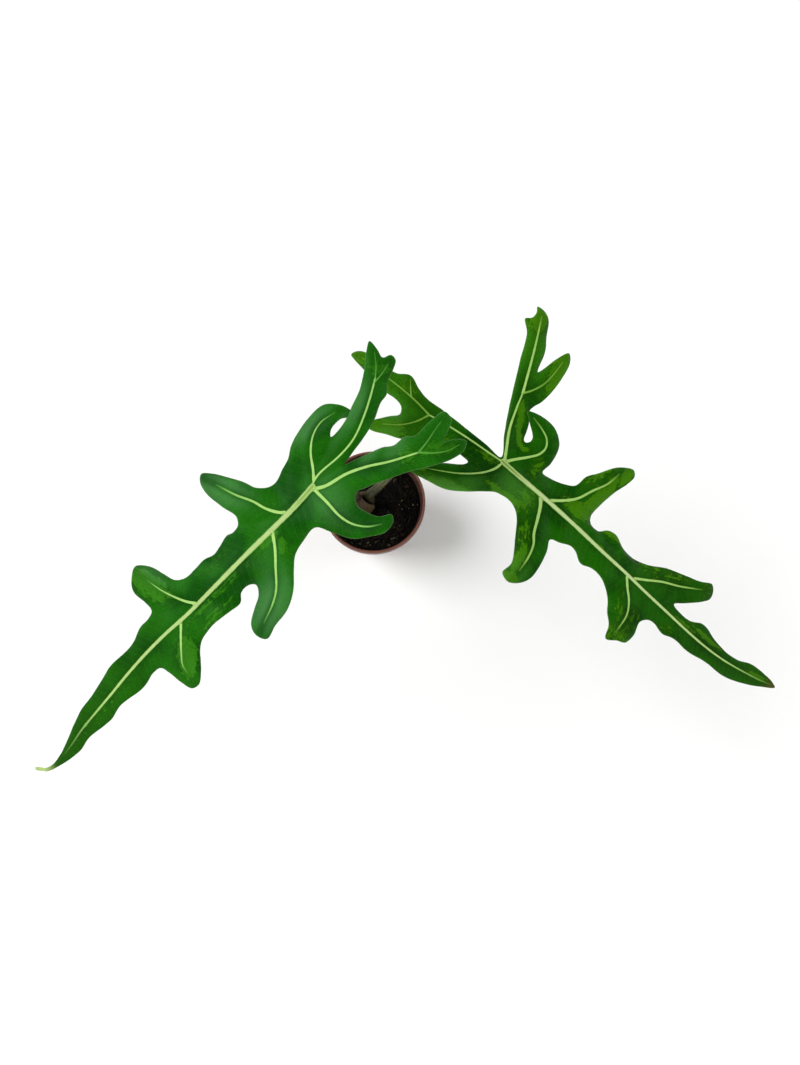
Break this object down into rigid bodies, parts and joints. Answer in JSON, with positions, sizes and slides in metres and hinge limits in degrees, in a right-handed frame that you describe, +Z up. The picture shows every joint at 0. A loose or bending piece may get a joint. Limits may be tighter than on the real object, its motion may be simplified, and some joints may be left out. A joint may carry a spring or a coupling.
{
  "type": "potted alocasia portei",
  "caption": "Young potted lobed aroid: arrow-shaped, deeply cut blades with pale ribs on tall bare stalks, rising from a short stem in a small round nursery pot.",
  "frame": {"origin": "centre of the pot's flat foot, on the surface it stands on", "axes": "+Z up along the pot's axis; the plant leans and its blades spread along X and towards -Y"},
  "size_m": [0.3878, 0.22, 0.2678],
  "materials": {
    "pot_plastic": "satin",
    "potting_mix": "matte",
    "stem_bark": "matte",
    "dry_sheath": "matte",
    "petiole_green": "satin",
    "petiole_khaki": "satin",
    "blade_bluegreen": "satin",
    "blade_yellowgreen": "satin"
  },
  "bodies": {
    "root": {"pot": "pot_plastic", "soil": "potting_mix", "stem": "stem_bark", "sheath": "dry_sheath", "left_petiole": "petiole_green", "right_petiole": "petiole_khaki", "left_blade": "blade_bluegreen", "right_blade": "blade_yellowgreen"}
  },
  "joints": []
}
